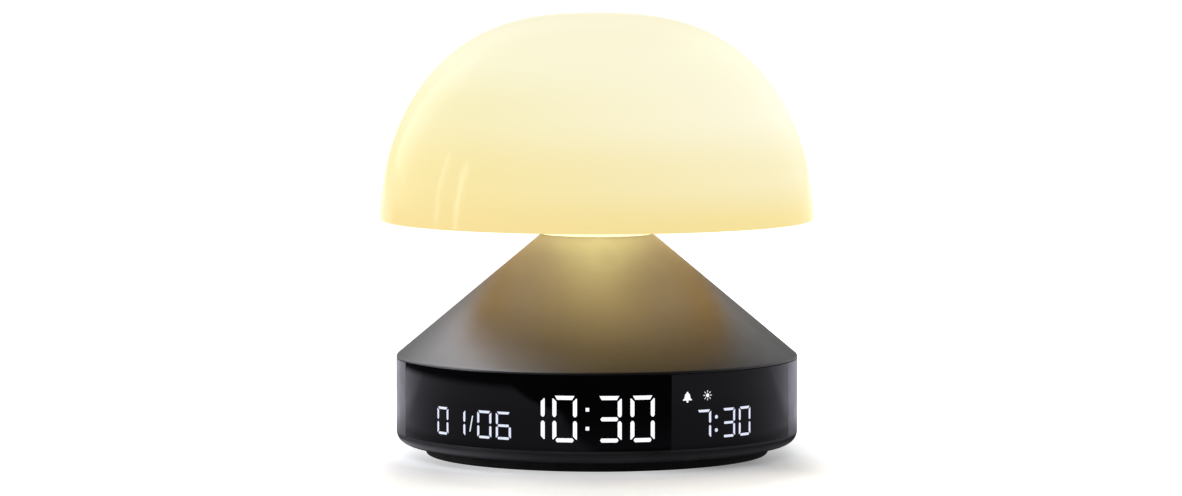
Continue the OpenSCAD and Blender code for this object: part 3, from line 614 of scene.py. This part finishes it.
def build_date(lit):
    """Two pairs of digits with a slanting stroke between them."""
    bm = bmesh.new()
    add_digits(bm, "0106", (-56.7, -49.0, -38.5, -31.3), *DATE_LINE)
    foot_x, foot_z = -44.5, 12.7
    top_x, top_z = -43.38, 17.9
    stroke = 0.45
    slab(bm, [(foot_x, foot_z), (foot_x + stroke, foot_z), (top_x + stroke, top_z), (top_x, top_z)])
    bend_on_lens("date_digits", bm, lit)


def build_alarm(lit):
    """Three digits, with round dots in the colon."""
    bm = bmesh.new()
    add_digits(bm, "730", (36.35, 46.35, 53.6), *ALARM_LINE)
    for z in (13.4, 17.7):
        add_dot(bm, middle=41.2, z=z, radius=0.6, sides=ROUND_DOT_SIDES)
    bend_on_lens("alarm_digits", bm, lit)


def build_bell(lit):
    """A small plain bell: a domed body that flares to its mouth, and the clapper under it."""
    bm = bmesh.new()
    middle, level = 30.2, 24.75
    clapper_r, clapper_drop = 0.38, 1.5
    # Half the bell's width at each height, from its crown down to its mouth.
    half = [(0.0, 1.62), (0.28, 1.5), (0.36, 1.2), (0.78, 0.85), (1.0, 0.1), (1.12, -0.5), (1.62, -0.95),
            (1.62, -1.15)]
    for (x0, z0), (x1, z1) in zip(half, half[1:]):
        crown = [(-x0, z0), (x0, z0)] if x0 else [(x0, z0)]
        slab(bm, [(middle + x, level + z) for x, z in crown + [(x1, z1), (-x1, z1)]])
    add_dot(bm, middle, level - clapper_drop, clapper_r, ROUND_DOT_SIDES)
    bend_on_lens("bell_icon", bm, lit)


def build_sun(lit):
    """A small plain sun: a disc and eight short rays."""
    bm = bmesh.new()
    middle, level = 37.7, 24.9
    disc_r, disc_sides = 0.62, 16
    rays, ray_from, ray_to, ray_half = 8, 1.0, 1.6, 0.11
    add_dot(bm, middle, level, disc_r, disc_sides)
    for k in range(rays):
        a = FULL_TURN * k / rays
        ray = [(ray_from, -ray_half), (ray_to, -ray_half), (ray_to, ray_half), (ray_from, ray_half)]
        slab(bm, [(middle + r * math.cos(a) - w * math.sin(a), level + r * math.sin(a) + w * math.cos(a))
                  for r, w in ray])
    bend_on_lens("sun_icon", bm, lit)


# ---- stage: floor, world and lamps. Places on the table are in metres from the clock's axis ----

def painted_floor_reflection(s):
    """What reflections see of the table is painted: a white patch on the left and one on the right, dark
    between.

    There is also a painted dim glow round the clock, a painted bright ring near its foot and painted light
    under it.
    """
    place = s.split()
    x, y = place["X"], place["Y"]
    away = s.length(x, y)

    # Each patch ends at a slanting line, and each line is a weighted sum of x and y.
    right_line = s.plus(s.times(x, 0.730), s.times(y, 0.683))
    left_line = s.minus(s.times(x, 0.827), s.times(y, 0.563))
    right_patch = s.span(right_line, -0.0263, -0.0248)
    left_edge = s.fade(left_line, 0.066, 0.082)
    left_front_end = s.span(y, -0.25, -0.235)
    left_far_end = s.fade(away, 0.32, 0.345)
    left_patch = s.times(s.times(left_edge, left_front_end), left_far_end)
    clear_of_clock = s.span(away, 0.082, 0.10)
    patches = s.times(s.larger(right_patch, left_patch), clear_of_clock)

    brighter_far_off = s.span(away, 0.14, 0.30, 0.38, 0.78)
    full_behind = s.span(y, 0.03, 0.12)
    patches = s.times(patches, s.larger(brighter_far_off, full_behind))

    dimmer_outwards = s.span(away, 0.12, 0.25, 0.26, 0.05)
    from_here_out = s.span(away, 0.128, 0.146)
    painted_dim_glow = s.times(dimmer_outwards, from_here_out)

    # A painted bright ring near the foot, brighter on the left.
    ring_inner_edge = s.span(away, 0.0625, 0.0665)
    ring_outer_edge = s.fade(away, 0.069, 0.080)
    ring_brighter_left = s.span(x, -0.050, -0.015, 0.6, 0.13)
    ring = s.times(s.times(ring_inner_edge, ring_outer_edge), ring_brighter_left)

    painted_light_under_clock = s.span(away, 0.045, 0.055, 0.5, 0.0)
    return s.plus(s.plus(patches, painted_dim_glow), s.plus(ring, painted_light_under_clock))


def floor_light_and_painted_shadow(s):
    """The table's own light, with a painted shadow dimmest at the front of the foot, and painted light round
    the foot and to the right.
    """
    place = s.split()
    x, y = place["X"], place["Y"]

    # The painted shadow's middle lies at the front of the foot, a little to the right of the axis.
    shadow_x, shadow_y = 0.004, -0.060
    away = s.length(s.minus(x, shadow_x), s.minus(y, shadow_y))
    painted_shadow_glow = s.span(away, 0.055, 0.088, 0.22, 0.53)
    far_glow = s.span(away, 0.088, 0.5, 0.0, 0.15)
    glow = s.plus(painted_shadow_glow, far_glow)

    # Painted light in a ring close round the foot, which ends on the right.
    painted_light_round_foot = s.span(s.length(x, y), 0.057, 0.076, 0.33, 0.0)
    ring_gone_right = s.fade(x, 0.014, 0.040)
    glow = s.plus(glow, s.times(painted_light_round_foot, ring_gone_right))

    # Painted light to the right, in front of the clock and beside it.
    painted_light_in_front_right = s.span(x, 0.0, 0.075, 0.0, 0.24)
    only_in_front = s.fade(y, -0.075, -0.040)
    painted_light_beside_clock = s.span(x, 0.062, 0.080, 0.0, 0.30)
    glow = s.plus(glow, s.larger(s.times(painted_light_in_front_right, only_in_front), painted_light_beside_clock))

    # A narrow strip in front on the left is a little darker: painted shadow.
    painted_shadow_strip_right = s.span(x, -0.055, -0.030, 0.14, 0.0)
    painted_shadow_strip_left = s.span(x, -0.073, -0.064)
    not_behind = s.fade(y, -0.02, 0.03)
    return s.minus(glow, s.times(s.times(painted_shadow_strip_right, painted_shadow_strip_left), not_behind))


def floor_material():
    """A white table. The camera also sees its own light with its painted shadow, and reflections see the
    painted reflection instead.

    It lets shadow rays through and is clear to a camera that looks from below.
    """
    s = Shader("floor_white")
    seen = s.add("ShaderNodeLightPath").outputs
    s.set(Base_Color=s.mix(s.noise(2.0, detail=2.0), (0.77, 0.79, 0.82), (0.78, 0.80, 0.83)),
          Roughness=0.9, Specular_IOR_Level=0.0, Emission_Color=(1.0, 1.0, 1.0),
          Emission_Strength=s.times(seen["Is Camera Ray"], floor_light_and_painted_shadow(s)))
    mirrored = s.add("ShaderNodeEmission")
    s.fill(mirrored.inputs["Strength"], painted_floor_reflection(s))
    s.fill(mirrored.inputs["Color"], (0.95, 0.93, 1.07))
    table = s.mix_surfaces(seen["Is Glossy Ray"], s.bsdf.outputs[0], mirrored.outputs[0])
    from_below = s.times(seen["Is Camera Ray"], s.add("ShaderNodeNewGeometry").outputs["Backfacing"])
    clear = s.add("ShaderNodeBsdfTransparent").outputs[0]
    see_through = s.larger(from_below, seen["Is Shadow Ray"])
    s.join(s.mix_surfaces(see_through, table, clear), s.out.inputs["Surface"])
    return s.material


def build_floor():
    """One large square under the clock."""
    half = 30.0
    data = bpy.data.meshes.new("floor")
    corners = [(-half, -half, 0), (half, -half, 0), (half, half, 0), (-half, half, 0)]
    data.from_pydata(corners, [], [(0, 1, 2, 3)])
    floor = add_object("floor", data)
    data.materials.append(floor_material())
    return floor


def build_world():
    """White to the camera, and half as bright as a plain source of light.

    Reflections see a studio: bright behind the clock, but less so straight behind, and dim around the
    camera.
    """
    world = bpy.data.worlds.new("studio")
    bpy.context.scene.world = world
    world.use_nodes = True
    w = Nodes(world.node_tree)
    seen = w.add("ShaderNodeLightPath").outputs
    backwards = w.split("Generated")["Y"]
    bright_behind = w.span(backwards, -0.3, 0.5, 0.06, 1.0)
    dimmer_straight_behind = w.span(backwards, 0.78, 0.97, 1.0, 0.25)
    studio = w.times(bright_behind, dimmer_straight_behind)
    plain = 0.5
    unseen = w.choose(seen["Is Glossy Ray"], plain, studio)
    background = w.add("ShaderNodeBackground")
    w.fill(background.inputs["Strength"], w.choose(seen["Is Camera Ray"], unseen, 1.0))
    w.fill(background.inputs["Color"], (1.0, 1.0, 1.0))
    w.join(background.outputs[0], w.add("ShaderNodeOutputWorld").inputs["Surface"])


def add_lamp(name, place, target, size, power, mirrored=True):
    """A slightly cool area lamp. size is (width, height) in metres, and power is in watts."""
    data = bpy.data.lights.new(name, "AREA")
    data.shape = "RECTANGLE"
    data.size, data.size_y = size
    data.energy = power
    data.color = (0.95, 0.96, 1.0)
    lamp = add_object(name, data)
    lamp.location = place
    lamp.rotation_euler = (Vector(target) - Vector(place)).to_track_quat("-Z", "Y").to_euler()
    lamp.visible_glossy = mirrored
    return lamp


def keep_off(lamp, *pieces):
    """Flags a lamp off some pieces, so that it lights everything else."""
    flagged = bpy.data.collections.new(lamp.name + "_flagged")
    for piece in pieces:
        flagged.objects.link(piece)
    for entry in flagged.collection_objects:
        entry.light_linking.link_state = "EXCLUDE"
    lamp.light_linking.receiver_collection = flagged


def build_lamps(dome, floor):
    """Soft light from above and from the left, a window behind on the left and two narrow strips.

    The broad lamps on the left are for the metal, so they are flagged off the glowing dome. One small
    lamp lights the clock from below.
    """
    middle = (0.0, 0.0, 0.07)
    add_lamp("soft_top", (-0.25, 0.6, 1.4), middle, size=(1.0, 1.0), power=4.5, mirrored=False)
    roof = add_lamp("roof_left", (-0.95, 0.56, 0.95), middle, size=(0.9, 0.9), power=6.0)
    keep_off(roof, dome)
    side = add_lamp("side_left", (-0.62, 0.06, 1.12), middle, size=(0.8, 0.8), power=14.0)
    keep_off(side, dome, floor)
    underside = (0.0, 0.0, 0.0)
    add_lamp("under_fill", (0.0, 0.0, -0.12), underside, size=(0.12, 0.12), power=0.2, mirrored=False)
    add_lamp("window_left", (-0.82, 0.80, 0.55), middle, size=(0.45, 0.75), power=1.2)
    add_lamp("strip_left", (-1.2, -0.28, 0.28), (0.0, -0.28, 0.1), size=(0.035, 0.5), power=2.6)
    add_lamp("strip_left_far", (-1.2, 0.02, 0.28), (0.0, 0.02, 0.1), size=(0.02, 0.5), power=1.2)


# ---- put it together ----

add_camera()

opal_out = opal_outside()
opal_in = opal_inside()
collar = glow_collar()
metal = satin_metal()
lens = gloss_lens()
housing = moulded_black("satin_housing", (0.010, 0.010, 0.011), (0.014, 0.014, 0.015), roughness=0.30)
cover = moulded_black("textured_cover", (0.014, 0.014, 0.015), (0.02, 0.02, 0.021), roughness=0.55,
                      grain=3500.0, depth_mm=0.02)
button_black = moulded_black("satin_button", (0.018, 0.018, 0.019), (0.024, 0.024, 0.026), roughness=0.35)
lit = lit_segment("lit_segment", (0.90, 0.93, 1.0), (0.97, 0.98, 1.0), strength=1.12)
lit_small = lit_segment("lit_small_segment", (0.74, 0.80, 1.0), (0.84, 0.88, 1.0), strength=0.95)
foot = rubber()
board_green = simple("board_green", (0.012, 0.06, 0.02), (0.02, 0.085, 0.03), roughness=0.4, scale=400.0)
cable_plastic = simple("cable_plastic", (0.55, 0.52, 0.42), (0.62, 0.59, 0.5), roughness=0.45)
zinc = simple("zinc_steel", (0.55, 0.55, 0.56), (0.66, 0.66, 0.67), roughness=0.32, scale=900.0, metallic=1.0)
dark_steel = simple("dark_steel", (0.10, 0.10, 0.11), (0.15, 0.15, 0.16), roughness=0.4, scale=500.0,
                    metallic=1.0)
black_inner = simple("inner_black", (0.02, 0.02, 0.022), (0.03, 0.03, 0.032), roughness=0.5)
paper_black = simple("cone_paper", (0.018, 0.018, 0.018), (0.03, 0.03, 0.03), roughness=0.85, scale=1200.0)
turned = simple("turned_aluminium", (0.66, 0.67, 0.69), (0.74, 0.75, 0.77), roughness=0.28, scale=700.0,
                metallic=1.0)
white_plastic = simple("white_plastic", (0.72, 0.72, 0.70), (0.78, 0.78, 0.76), roughness=0.5)

for material, nodes in (
    (housing, ["base_housing"]),
    (lens, ["display_window"]),
    (cover, ["bottom_cover"]),
    (foot, ["foot_ring"]),
    (metal, ["cone_cap"]),
    (opal_out, ["shade"]),
    (collar, ["light_diffuser", "light_leds"]),
    (turned, ["lamp_column"]),
    (paper_black, ["speaker_cone"]),
    (dark_steel, ["speaker_frame", "speaker_magnet"]),
    (board_green, ["display_board", "main_board", "inlet_board", "button_board"]),
    (cable_plastic, ["display_ribbon", "button_ribbon", "inlet_lead", "lamp_cable"]),
    (white_plastic, ["digit_reflector", "display_leds", "light_board", "guide_bush", "shade_stem"]),
    (button_black, ["time_button", "alarm_button", "light_button", "minus_button", "plus_button",
                    "alarm_slider"]),
    (black_inner, ["board_chips", "battery_holder", "button_switches", "slide_switch", "chassis_plate",
                   "cone_ring", "press_switch"]),
    (zinc, ["cover_screws", "board_screws", "chassis_screws", "cone_screws", "column_screws",
            "coin_cell", "power_inlet", "return_spring", "stem_clip"]),
):
    for node in nodes:
        paint(node, material)

dome = build_dome(opal_out, opal_in)
build_cone(metal)
build_spring(zinc)
build_display(lit, lit_small)
floor = build_floor()
build_world()
build_lamps(dome, floor)
